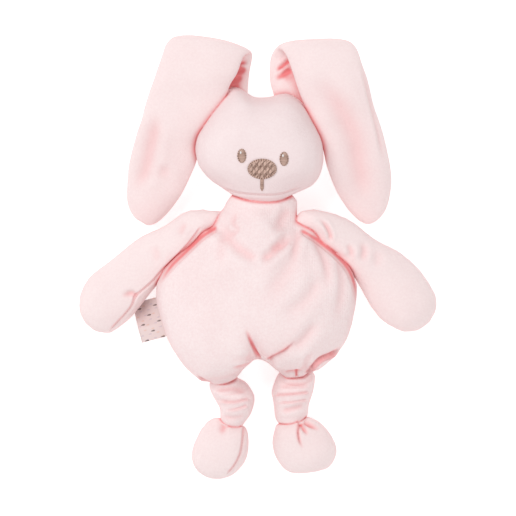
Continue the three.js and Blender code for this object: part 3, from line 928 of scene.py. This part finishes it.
# ---- Ears: one long lined ear each, rising from a corner of the head and folded over forwards ----
# Front and back are sewn at the edge over a thin wadding. The fold stays soft, so it has no crease.
# Each ear is made whole here, and cut in two at its fold once the other pieces are there.
ear_velour = velour("ear_velour", (0.965, 0.815, 0.812), (0.935, 0.765, 0.765))
ears = {
    "right": [
        ((-27, 119, 35), (-8, 124, 35), 4),
        ((-27, 131, 35.5), (-8.2, 134, 35.5), 5),
        ((-31, 142, 37), (-8, 141.5, 37), 6.5),
        ((-42, 155, 37.5), (-7.2, 151.5, 38), 6.5),
        ((-56, 171, 38), (-4.6, 165, 39.5), 6),
        ((-67.5, 179.6, 46), (-6.4, 168, 47), 6),
        ((-74, 174, 56), (-12, 163.6, 57), 6.8),
        ((-78.5, 161, 58), (-17, 150.5, 57.5), 8),
        ((-83, 148, 55.5), (-22.3, 141, 55), 8.5),
        ((-88, 134, 51), (-26.6, 128.5, 50.5), 8.5),
        ((-94.2, 114, 44), (-38, 111, 44), 8.5),
        ((-99.8, 97.2, 37), (-48.3, 98, 37), 8.5),
        ((-104, 80, 30), (-49.6, 84, 30), 8.5),
        ((-106.9, 64, 24), (-54.5, 70, 24), 8.3),
        ((-107.5, 52, 19), (-61.5, 55.5, 19), 8),
        ((-105.8, 42.5, 15), (-69, 45, 15), 7),
        ((-101.5, 35, 12), (-78, 35.6, 12), 5.4),
        ((-95.5, 31.2, 10.5), (-85, 30.4, 10.5), 3.4),
        ((-91.5, 30, 10), (-89.5, 29.9, 10), 0.8),
    ],
    "left": [
        ((14, 122, 35), (36, 113, 35), 4),
        ((12.6, 133, 35.5), (38, 125, 35.5), 5),
        ((9.6, 144, 37), (39.5, 138, 37), 6.5),
        ((9.6, 156, 37.5), (46, 154, 37.5), 6.5),
        ((10.6, 165.5, 38.5), (58, 167, 38), 6),
        ((15.6, 171.6, 46.5), (72, 174.8, 46), 6),
        ((20.6, 167.8, 56.5), (79, 170.6, 56), 6.8),
        ((26, 155, 57.5), (83.6, 158, 58), 8),
        ((30.4, 144, 55), (87.8, 145, 55.5), 8.5),
        ((36.8, 127, 50), (91.8, 128, 50.5), 8.5),
        ((44.2, 108.6, 43.5), (98, 110, 44), 8.5),
        ((52.2, 91.5, 36.5), (103, 92, 37), 8.5),
        ((57, 74.2, 29.5), (106.8, 76, 30), 8.5),
        ((64.8, 56.8, 22), (108, 60, 22), 8.2),
        ((72.6, 43.5, 16), (105.8, 45, 16), 7.2),
        ((80, 35, 12.5), (101, 36.4, 12.5), 5.4),
        ((86, 31, 10.5), (95, 31.6, 10.5), 3.4),
        ((89.6, 29.9, 10), (91.4, 30, 10), 0.8),
    ],
}
EAR_AROUND = 56  # points round the ear
EAR_STEPS = 7  # rows from one station to the next
for side, stations in ears.items():
    ear = bag(f"{side}_ear", stations, EAR_AROUND, EAR_STEPS)
    rows = np.arange((len(stations) - 1) * EAR_STEPS + 1) / EAR_STEPS
    station = ear.data.attributes.new("station", "FLOAT", "POINT")
    reached = np.append(np.repeat(rows, EAR_AROUND), (0, rows[-1]))
    station.data.foreach_set("value", reached.astype(np.float32))
    inflate(ear, 2, 1.5 * MM, rim=0.5)
    refine(ear)
    soften(ear, 26, 0.9, 3 if side == "right" else 4)
    if side == "right":
        crease(ear, [(-84.8, 121.9), (-83.9, 108.9), (-88.3, 88), (-91.4, 73.3), (-96.7, 62.9),
        (-97.8, 52.5)],
               5.5, 3.2, ends=(0.3, 0.3), painted_shade=0.22)
        # Below the fold the pocket gets creases and a broad band of painted shade.
        creases(ear, [
            ([(-24, 157), (-8, 161)], 1.6, 1.6, (0.05, 0.3), 0.8),
            ([(-24, 151.5), (-9, 155)], 1.8, 2.0, (0.05, 0.3), 1),
            ([(-24, 141), (-17, 160)], 7, 0.4, (0.1, 0.2), 2),
            ([(-24, 145.5), (-12, 148)], 1.8, 1.6, (0.05, 0.4), 0.8),
        ], top=52)
        crease(ear, [(-76.2, 79.6), (-77.8, 62.9)], 5, 1.6, ends=(0.45, 0.45), painted_shade=0.1)
    else:
        crease(ear, [(41.7, 148.3), (61.3, 127.6), (76.5, 100.4), (81, 75.6), (88.3, 40.7)], 8.5, 4.2,
               ends=(0.3, 0.25), painted_shade=0.2)
        creases(ear, [
            ([(14, 153), (26, 162)], 1.6, 1.6, (0.3, 0.05), 0.9),
            ([(13, 146), (27, 154)], 1.8, 1.6, (0.3, 0.05), 0.7),
        ], top=52)
        crease(ear, [(81.8, 163.4), (88.3, 138.2), (98.5, 97.6), (102.5, 75)], 1.8, 1.3, painted_shade=0.12)
        # A shallow crease with painted shade in the pocket below the fold.
        crease(ear, [(22, 144), (25, 158)], 5, 0.4, ends=(0.3, 0.3), painted_shade=0.5, top=52)
    paint_hollow_shade(ear, 0.35)
    cover(ear, ear_velour)

# ---- Arms: tapered bags, flat at the armhole and full at the hand ----
# Each is two panels with a seam along both edges, sewn into the body between neck and side.
arm_velour = velour("arm_velour", (0.955, 0.812, 0.808), (0.925, 0.762, 0.762))
arm_outlines = {
    "right": [(-32, 40.5), (-47, 41.5), (-60, 39), (-76, 28.5), (-100, 16), (-120.5, 0), (-137, -14),
    (-145, -28),
              (-146, -39), (-143, -49), (-135, -57.5), (-122.5, -60), (-112, -55), (-102, -44.5),
              (-91, -31.5),
              (-79.5, -16.5), (-67.5, 0), (-53, 12), (-42, 23), (-31, 24.5), (-26.5, 33)],
    "left": [(31.5, 37.5), (39, 41), (54, 40), (74.5, 32.5), (95, 18), (115, 6), (131.5, -8), (142, -22),
             (145.5, -34.5), (143.5, -45), (135.5, -55), (123, -59), (111, -56), (97, -46.5), (88.5, -32.5),
             (80.5, -18), (71.5, -5.5), (53, 10.5), (46, 19), (33.5, 21.5), (28.5, 31)],
}
ARM_BEND = 0.028  # how far from its hinge the arm still bends, in metres
# The seam of the right arm shows from its root to the tip of the hand.
ARM_SEAM = [(-57.9, 11.4), (-78.3, -8.9), (-85.8, -17.4), (-98, -28.4), (-104.5, -39.8), (-121.3, -57.7)]
for side, sign in (("right", -1), ("left", 1)):
    arm = filled(f"{side}_arm", f"{side}_arm_stuffing", 3.2, 3.6)
    inflate(arm, 4, 3 * MM)
    refine(arm)
    fit_rim(arm, arm_outlines[side], (sign * 88, -8))
    lay_down(arm)
    soften(arm, 24, 1.2, 5 + sign)
    divide(arm)
    # The root of the arm lies over the shoulder, a little higher than the rest.
    co = points_of(arm)
    co[:, 2] += 0.009 * np.exp(-((co[:, 0] - sign * 0.045) / 0.03) ** 2)
    move_points(arm, co)
    if side == "right":
        crease(arm, [(-45.7, 27.7), *ARM_SEAM], 0.9, 0.9, ends=(0.05, 0.05), painted_shade=0.35, side=0.15)
        creases(arm, [
            ([(-58, 32), (-62, 24), (-61, 18)], 2.5, 1.6, (0.4, 0.4), 0.15),
            ([(-86, 14), (-82, 4), (-84, -4)], 3.5, 1.2, (0.4, 0.4), 0.1),
        ])
        swell(arm, (-102.6, -27.6), 5, -2.2)
        crease(arm, [(-112, -30), (-103, -27), (-97, -30)], 2, 1.0, ends=(0.5, 0.4), painted_shade=0.3)
    else:
        creases(arm, [
            ([(47, 35), (54, 29), (58, 21), (58, 14)], 1.6, 2.2, (0.5, 0.2), 0.3),
            ([(71, 14), (75, 7), (73, 0)], 2.2, 1.6, (0.4, 0.4), 0.2),
            ([(82, 16), (86, 8), (83, -3)], 2.6, 1.6, (0.4, 0.4), 0.18),
            ([(94, 10), (97, 2), (94, -8)], 3.5, 1.0, (0.4, 0.4), 0.08),
        ])
    paint_hollow_shade(arm, 0.35)
    cover(arm, arm_velour)
    shoulder = hinge(f"{side}_arm_raise")
    x, y, z = shoulder["pos_m"]
    reach = Vector(shoulder["axis"]).cross(Vector((0, 0, -1)))
    far = Vector((x, y, z)) + reach * (ARM_BEND if reach.x * sign > 0 else -ARM_BEND)
    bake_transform(arm, "torso", f"{side}_arm", start=(x, y, z), end=tuple(far))
    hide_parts(*sewn(f"{side}_arm"))

# ---- Legs: a gathered tube of the body's velour tied in one overhand knot ----
# The wraps of the knot lie across the leg, and a stuffed foot hangs below it.
knots = {
    "right": [
        ((-37, -97, 27), (-17, -97, 27), 9),
        ((-40, -101.6, 25), (-14.5, -99.6, 25), 14),
        ((-39.6, -106, 23), (-7.4, -103.6, 23), 16.5),
        ((-37, -111.5, 22), (-3.4, -109.5, 22), 17.5),
        ((-34, -116.6, 22), (-2.6, -116, 22), 17),
        ((-32, -121.5, 22), (-4.4, -121.6, 22), 16),
        ((-31.6, -127.5, 21), (-8, -128.6, 21), 14.5),
        ((-30, -132, 20.5), (-11, -133, 20.5), 12.5),
        ((-27, -136.5, 20), (-14, -137, 20), 8),
    ],
    "left": [
        ((20, -92, 27), (42, -92, 27), 9),
        ((15, -95.6, 25), (46, -94.4, 25), 14),
        ((12.8, -101, 23), (46.4, -99.4, 23), 16.5),
        ((11.6, -108, 22), (45.4, -106.6, 22), 17.5),
        ((12.4, -114, 22), (43, -113, 22), 17),
        ((13, -120, 22), (41.2, -119.4, 22), 16),
        ((13.8, -126.6, 21), (40.6, -126, 21), 14.5),
        ((15.6, -132, 20.5), (38.6, -130.6, 20.5), 12.5),
        ((20, -136.4, 20), (36, -135.4, 20), 8),
    ],
}
foot_outlines = {
    "right": [(-29, -130), (-35, -127), (-44, -134), (-50.5, -146), (-54, -158.5), (-51.5, -170), (-43, -177),
              (-31, -178.5), (-19, -174.5), (-11, -164.5), (-8, -150), (-9, -139), (-13, -135)],
    "left": [(40, -128), (50, -132), (59, -142), (64, -154.5), (61.5, -164.5), (54, -171.5), (38, -174.5),
             (24, -172.5), (14.5, -162.5), (11, -150), (13.5, -138.5), (16, -134), (28, -131)],
}
# The seam of the right foot shows on its inner side.
FOOT_SEAM = [(-12.1, -142.5), (-14.3, -156.6), (-19.6, -167.2), (-25.8, -174.3)]
foot_middles = {"right": (-30, -154), "left": (36, -153)}
for side, sign in (("right", -1), ("left", 1)):
    knot = bag(f"{side}_leg_knot_cloth", knots[side], around=64, steps=8, pinch=0.95)
    refine(knot)
    soften(knot, 13, 1.0, 8 + sign)
    if side == "right":
        overlap(knot, [(-6.2, -112.2), (-20.6, -115.4), (-34.6, -113.8)], 5, 2.0, ends=(0.15, 0.3), painted_shade=0.2)
        overlap(knot, [(-8.2, -117.8), (-17.3, -121), (-29.2, -122.7)], 4, 1.6, ends=(0.1, 0.5), painted_shade=0.2)
        creases(knot, [
            ([(-36, -106), (-22, -104.4), (-9, -107)], 2, 0.9, (0.25, 0.25), 0.2),
            ([(-30, -127), (-20, -128.4), (-10, -126)], 2, 0.8, (0.25, 0.25), 0.2),
        ])
    else:
        overlap(knot, [(42.6, -107), (29.8, -108.6), (12.1, -109.9)], 5, 1.8, ends=(0.15, 0.15), painted_shade=0.25)
        overlap(knot, [(40.6, -113.4), (27.4, -115.4), (13.8, -116.2)], 4, 1.5, ends=(0.1, 0.3), painted_shade=0.2)
        creases(knot, [
            ([(38.6, -117.8), (29, -120.5), (17.3, -122.7)], 2, 1.2, (0.25, 0.25), 0.3),
            ([(16, -102.6), (30, -101), (42, -102)], 2, 0.8, (0.25, 0.25), 0.2),
        ])
    paint_hollow_shade(knot, 0.15)
    cover(knot, body_velour)
    x, y, z = hinge(f"{side}_hip")["pos_m"]
    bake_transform(knot, "torso", f"{side}_leg", start=(x, y + 0.004, z), end=(x, y - 0.010, z))
    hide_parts(f"{side}_leg_knot")

    foot = filled(f"{side}_foot", f"{side}_foot_stuffing", 3, 3.2)
    inflate(foot, 4, 2.5 * MM)
    refine(foot)
    fit_rim(foot, foot_outlines[side], foot_middles[side])
    lay_down(foot)
    soften(foot, 20, 0.9, 11 + sign)
    divide(foot)
    if side == "right":
        creases(foot, [
            ([(-11.6, -133.7), *FOOT_SEAM], 1.1, 0.9, (0.02, 0.1), 0.4),
            ([(-27.5, -134), (-31.1, -143)], 2.5, 1.4, (0.05, 0.7), 0.4),
        ])
    else:
        overlap(foot, [(36.8, -153.9), (33.3, -147), (32, -139.9), (33.3, -132.8)], 4, 1.8,
                ends=(0.5, 0.02), painted_shade=0.7)
        creases(foot, [
            ([(34.2, -132.8), (37.1, -137.3), (41.2, -143.4)], 1.5, 1.8, (0.02, 0.6), 0.7),
            ([(36.8, -131.5), (44.8, -135.5), (51, -138.1)], 1.6, 2.0, (0.02, 0.6), 0.7),
        ])
    paint_hollow_shade(foot, 0.3)
    cover(foot, arm_velour)
    x, y, z = hinge(f"{side}_foot_bend")["pos_m"]
    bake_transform(foot, f"{side}_leg", f"{side}_foot", start=(x, y + 0.002, z), end=(x, y - 0.008, z))
    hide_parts(*sewn(f"{side}_foot"))

# ---- Seam threads ----
# The closing seams show as a line of short stitches, drawn a little into the pile.
seam_thread = thread("seam_thread", (0.52, 0.33, 0.31), (0.72, 0.52, 0.50))
seams = (
    ("face_seam", "head", CHIN_SEAM),
    ("right_arm_seam", "right_arm", ARM_SEAM),
    ("right_foot_seam", "right_foot", FOOT_SEAM),
)
for name, cloth, path in seams:
    skin = BVHTree.FromObject(bpy.data.objects[cloth], bpy.context.evaluated_depsgraph_get())
    line = rounded(path, 12)
    rows = []
    for a, b in zip(line[:-1], line[1:]):
        length = math.dist(a, b)
        count = max(1, round(length / 1.5))
        for i in range(count):
            ends = [tuple(p + (q - p) * (i + t) / count for p, q in zip(a, b)) for t in (0.1, 0.85)]
            covered = [cast_down(skin, *end)[0] for end in ends]
            if None not in covered:
                rows.append(stitch(skin, *ends, -0.02, 0.3))
    seam = sew(name, rows, 0.32, 0.3, seam_thread, 23)
    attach(seam, cloth)

# ---- Contacts, and the ears' folds ----
# Where two pieces lie against each other, shade is painted into the cloth's colour, and so it is where an ear
# covers itself. Each ear is then
# cut at its fold: the root part bends there, and the part that hangs beyond the fold turns whole.
cloths = [o for o in scene.objects if o.type == "MESH" and "fold" in o.data.attributes]
for piece in cloths:
    is_ear = piece.name.endswith("_ear")
    paint_contact_shade(piece, [o for o in cloths if o is not piece], 6 if piece is body or is_ear else 3)
    if is_ear:
        paint_covered_shade(piece, 30)


def part_at(piece, station, beyond, name):
    """The part of a finished ear on one side of a station, shaded as if the ear were still whole."""
    whole = piece.data
    facing = whole.attributes.new("facing", "FLOAT_VECTOR", "POINT")
    facing.data.foreach_set("vector", normals_of(piece).astype(np.float32).ravel())
    half = bmesh.new()
    half.from_mesh(whole)
    place = half.verts.layers.float["station"]
    unwanted = [f for f in half.faces
                if (sum(v[place] for v in f.verts) / len(f.verts) > station) != beyond]
    bmesh.ops.delete(half, geom=unwanted, context="FACES")
    mesh = bpy.data.meshes.new(name)
    half.to_mesh(mesh)
    half.free()
    mesh.materials.append(whole.materials[0])
    kept = np.empty(len(mesh.vertices) * 3, np.float32)
    mesh.attributes["facing"].data.foreach_get("vector", kept)
    mesh.normals_split_custom_set_from_vertices(kept.reshape(-1, 3).tolist())
    for done in ("facing", "station"):
        mesh.attributes.remove(mesh.attributes[done])
    whole.attributes.remove(whole.attributes["facing"])
    part = bpy.data.objects.new(name, mesh)
    scene.collection.objects.link(part)
    return part


FOLD_END = 6.9  # the station just beyond the fold
for side in ears:
    ear = bpy.data.objects[f"{side}_ear"]
    root = part_at(ear, FOLD_END, False, f"{side}_ear_root_cloth")
    flap = part_at(ear, FOLD_END, True, f"{side}_ear_flap_cloth")
    bpy.data.objects.remove(ear)
    x, y, z = hinge(f"{side}_ear_unfold")["pos_m"]
    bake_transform(root, f"{side}_ear_root", f"{side}_ear_flap", start=(x, y, z - 0.0015), end=(x, y, z + 0.0035))
    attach(flap, f"{side}_ear_flap")
    for part, cloth in (("root", root), ("flap", flap)):
        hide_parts(*sewn(f"{side}_ear_{part}"))

# ---- Label: a printed satin ribbon, folded in two and caught in the right side seam ----
# Its two ends are sewn in, the fold stands out, and the arm presses its upper corner down.
LABEL_WIDTH = 33
LABEL_PROUD = 20.5
LABEL_TUCK = 2.5  # how far the ends reach in behind the seam
label_corner = Vector((-75.0, -62.2, 0))
label_up = Vector((-0.259, 0.966, 0))
label_out = Vector((-0.966, -0.259, 0))


def label_height(u, v):
    """How high the ribbon lies: level at the seam, drooping outwards and pressed down by the arm."""
    press = max(0.0, u - 0.35) / 0.65
    return 29.5 - 3.5 * v - 15.5 * press * min(1, v * 1.6) + 0.8 * math.sin(5 * u + 1)


vertices, faces, across_count, out_count = [], [], 30, 18
for layer in (1, -1):
    for j in range(out_count + 1):
        v = j / out_count
        gap = 0.55 * math.sqrt(max(0, 1 - v ** 4)) + 0.12
        for i in range(across_count + 1):
            u = i / across_count
            outwards = v * LABEL_PROUD - LABEL_TUCK * (1 - v)
            at = label_corner + label_up * (u * LABEL_WIDTH) + label_out * outwards
            at.z = label_height(u, v) + layer * gap
            vertices.append(at * MM)
row = across_count + 1
sheet_size = row * (out_count + 1)
for layer in range(2):
    for j in range(out_count):
        for i in range(across_count):
            a = layer * sheet_size + j * row + i
            faces.append((a, a + 1, a + row + 1, a + row))
for i in range(across_count):
    a = out_count * row + i
    faces.append((a, a + 1, sheet_size + a + 1, sheet_size + a))
label = add_piece("ribbon_label", vertices, faces)
uv = label.data.uv_layers.new(name="ribbon")
for loop in label.data.loops:
    at = label.data.vertices[loop.vertex_index].co / MM - label_corner
    flat = Vector((at.x, at.y, 0))
    uv.data[loop.index].uv = (flat.dot(label_up), flat.dot(label_out))
label.data.polygons.foreach_set("use_smooth", [True] * len(label.data.polygons))

satin, tree, shader = new_material("satin_ribbon", {"Roughness": 0.42, "Sheen Weight": 0.3})
on_ribbon = node(tree, "ShaderNodeUVMap", {}, uv_map="ribbon").outputs["UV"]


def calc(kind, *values):
    return maths(tree, kind, *values)


def drops(pitch, shift, length, width):
    """Rows of teardrops: 1 inside a drop. Returns the mask and a number that differs per drop."""
    moved = node(tree, "ShaderNodeVectorMath", {0: on_ribbon, 1: shift}, operation="ADD").outputs["Vector"]
    parts = node(tree, "ShaderNodeSeparateXYZ", {0: moved}).outputs
    line = calc("DIVIDE", parts[0], pitch[0])
    line_number = calc("FLOOR", line)
    stagger = calc("MULTIPLY", calc("FLOORED_MODULO", line_number, 2), 0.5)
    place = calc("ADD", calc("DIVIDE", parts[1], pitch[1]), stagger)
    along_drop = calc("MULTIPLY", calc("SUBTRACT", calc("FRACT", place), 0.5), pitch[1] / length)
    aside = calc("MULTIPLY", calc("SUBTRACT", calc("FRACT", line), 0.5), pitch[0] / width)
    taper = calc("MULTIPLY_ADD", along_drop, -0.7, 0.65)
    squeezed = calc("DIVIDE", aside, calc("MAXIMUM", taper, 0.1))
    distance = calc("ADD", calc("POWER", calc("ABSOLUTE", squeezed), 2),
                    calc("POWER", calc("ABSOLUTE", along_drop), 2))
    number = node(tree, "ShaderNodeCombineXYZ", {0: line_number, 1: calc("FLOOR", place)}).outputs[0]
    chance = node(tree, "ShaderNodeTexWhiteNoise", {"Vector": number}).outputs["Value"]
    return calc("LESS_THAN", distance, 0.25), chance


SATIN = (0.79, 0.64, 0.625)
MAUVE_DROP = (0.62, 0.50, 0.56)
ORANGE_DROP = (0.78, 0.50, 0.40)
DARK_DROP = (0.10, 0.055, 0.048)
faint, faint_chance = drops((3.9, 6.6), (0.6, 1.0, 0), 2.9, 1.7)
faint_tone = mixed(tree, calc("GREATER_THAN", faint_chance, 0.5), MAUVE_DROP, ORANGE_DROP)
dark = drops((6.6, 13.5), (2.6, 4.2, 0), 3.6, 1.8)[0]
print_ground = mixed(tree, calc("MULTIPLY", faint, 0.6), SATIN, faint_tone)
feed(tree, shader.inputs["Base Color"], mixed(tree, calc("MULTIPLY", dark, 0.85), print_ground, DARK_DROP))
floats = node(tree, "ShaderNodeTexWave", {"Vector": on_ribbon, "Scale": 0.9, "Distortion": 2, "Detail": 3})
roughen(tree, shader, floats.outputs["Fac"], 0.3, 0.0001)
label.data.materials.append(satin)
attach(label, "label")
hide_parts("side_label")

# ---- Studio ----
# A pale lit table and large soft lights overhead, so that almost no shadow falls.
table_paint = new_material("table_paint", {
    "Base Color": (0.9, 0.9, 0.9), "Roughness": 0.9,
    "Emission Color": (1, 1, 1), "Emission Strength": 0.4,
})[0]
TABLE_HALF = 3.0
corners = [(x * TABLE_HALF, y * TABLE_HALF, 0) for x, y in ((-1, -1), (1, -1), (1, 1), (-1, 1))]
floor = add_piece("floor", corners, [(0, 1, 2, 3)])
floor.data.materials.append(table_paint)

world = bpy.data.worlds.new("studio")
world.use_nodes = True
sky = world.node_tree.nodes["Background"].inputs
sky["Color"].default_value = (1, 0.995, 0.99, 1)
sky["Strength"].default_value = 0.6
scene.world = world
for name, place, size, power in (("key", (-1.2, 1.0, 2.2), 1.4, 26), ("fill", (0.8, -1.1, 2.1), 2.0, 13)):
    light = bpy.data.lights.new(name, "AREA")
    light.size = size
    light.energy = power
    lamp = bpy.data.objects.new(name, light)
    lamp.location = place
    lamp.rotation_euler = (-Vector(place)).to_track_quat("-Z", "Y").to_euler()
    scene.collection.objects.link(lamp)
